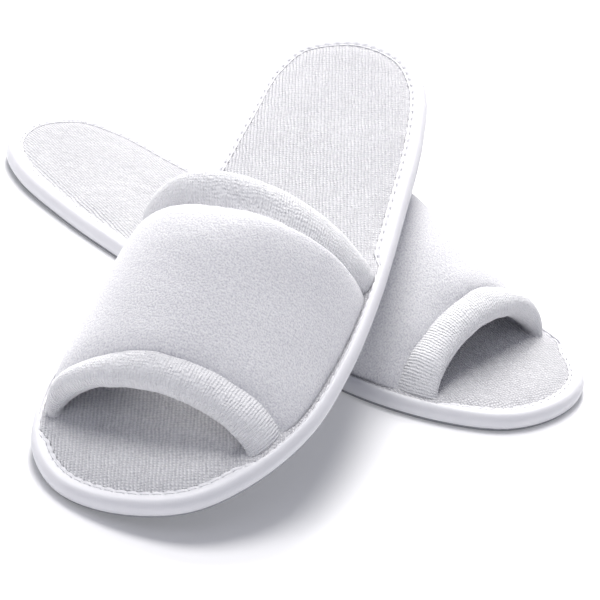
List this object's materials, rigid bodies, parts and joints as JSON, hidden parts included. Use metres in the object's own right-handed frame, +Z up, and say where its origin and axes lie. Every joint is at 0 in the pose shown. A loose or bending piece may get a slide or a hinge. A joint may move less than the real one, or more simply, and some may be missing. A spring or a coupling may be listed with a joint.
{
  "type": "spa slippers",
  "caption": "Pair of white open-toe spa slippers in padded terry and velour, the left one lying across the right one.",
  "frame": {"origin": "middle of the pair's bounding box, on the ground", "axes": "+X from the heel to the toe of the right slipper, which lies flat; +Z up; the left slipper lies across it with its toe on the ground"},
  "size_m": [0.285, 0.2588, 0.095],
  "materials": {
    "outsole": "matte sheet, dark grey edge",
    "midsole": "closed-cell foam",
    "insole": "ribbed terry knit",
    "binding": "smooth satin tape",
    "binding_thread": "sewing thread",
    "strap_cover": "short velour pile",
    "foam": "open-cell foam",
    "strap_lining": "brushed knit",
    "hem": "ribbed terry knit"
  },
  "bodies": {
    "right_slipper": {"right_outsole_front": "outsole", "right_midsole_front": "midsole", "right_insole_front": "insole", "right_binding_front": "binding", "right_binding_thread_front": "binding_thread", "right_strap_cover": "strap_cover", "right_strap_foam": "foam", "right_strap_lining": "strap_lining", "right_collar": "hem", "right_collar_filling": "foam", "right_toe_hem": "hem", "right_toe_hem_filling": "foam"},
    "right_heel": {"right_outsole_heel": "outsole", "right_midsole_heel": "midsole", "right_insole_heel": "insole", "right_binding_heel": "binding", "right_binding_thread_heel": "binding_thread"},
    "left_slipper": {"left_outsole_front": "outsole", "left_midsole_front": "midsole", "left_insole_front": "insole", "left_binding_front": "binding", "left_binding_thread_front": "binding_thread", "left_strap_cover": "strap_cover", "left_strap_foam": "foam", "left_strap_lining": "strap_lining", "left_collar": "hem", "left_collar_filling": "foam", "left_toe_hem": "hem", "left_toe_hem_filling": "foam"},
    "left_heel": {"left_outsole_heel": "outsole", "left_midsole_heel": "midsole", "left_insole_heel": "insole", "left_binding_heel": "binding", "left_binding_thread_heel": "binding_thread"}
  },
  "joints": [
    {"name": "right_heel_flex", "type": "hinge", "parent": "right_slipper", "child": "right_heel", "pos_m": [-0.03195, 0.06955, 0.0076], "axis": [0, 1, 0], "range_deg": [0, 35], "stiffness_Nm_per_rad": 0.15},
    {"name": "left_slipper_lift", "type": "slide", "parent": "right_slipper", "child": "left_slipper", "axis": [0, 0, 1], "range_m": [0, 0.15]},
    {"name": "left_heel_flex", "type": "hinge", "parent": "left_slipper", "child": "left_heel", "pos_m": [0.0271, 0.02897, 0.05878], "axis": [0.9217, 0.3389, 0.1885], "range_deg": [0, 35], "stiffness_Nm_per_rad": 0.15}
  ]
}
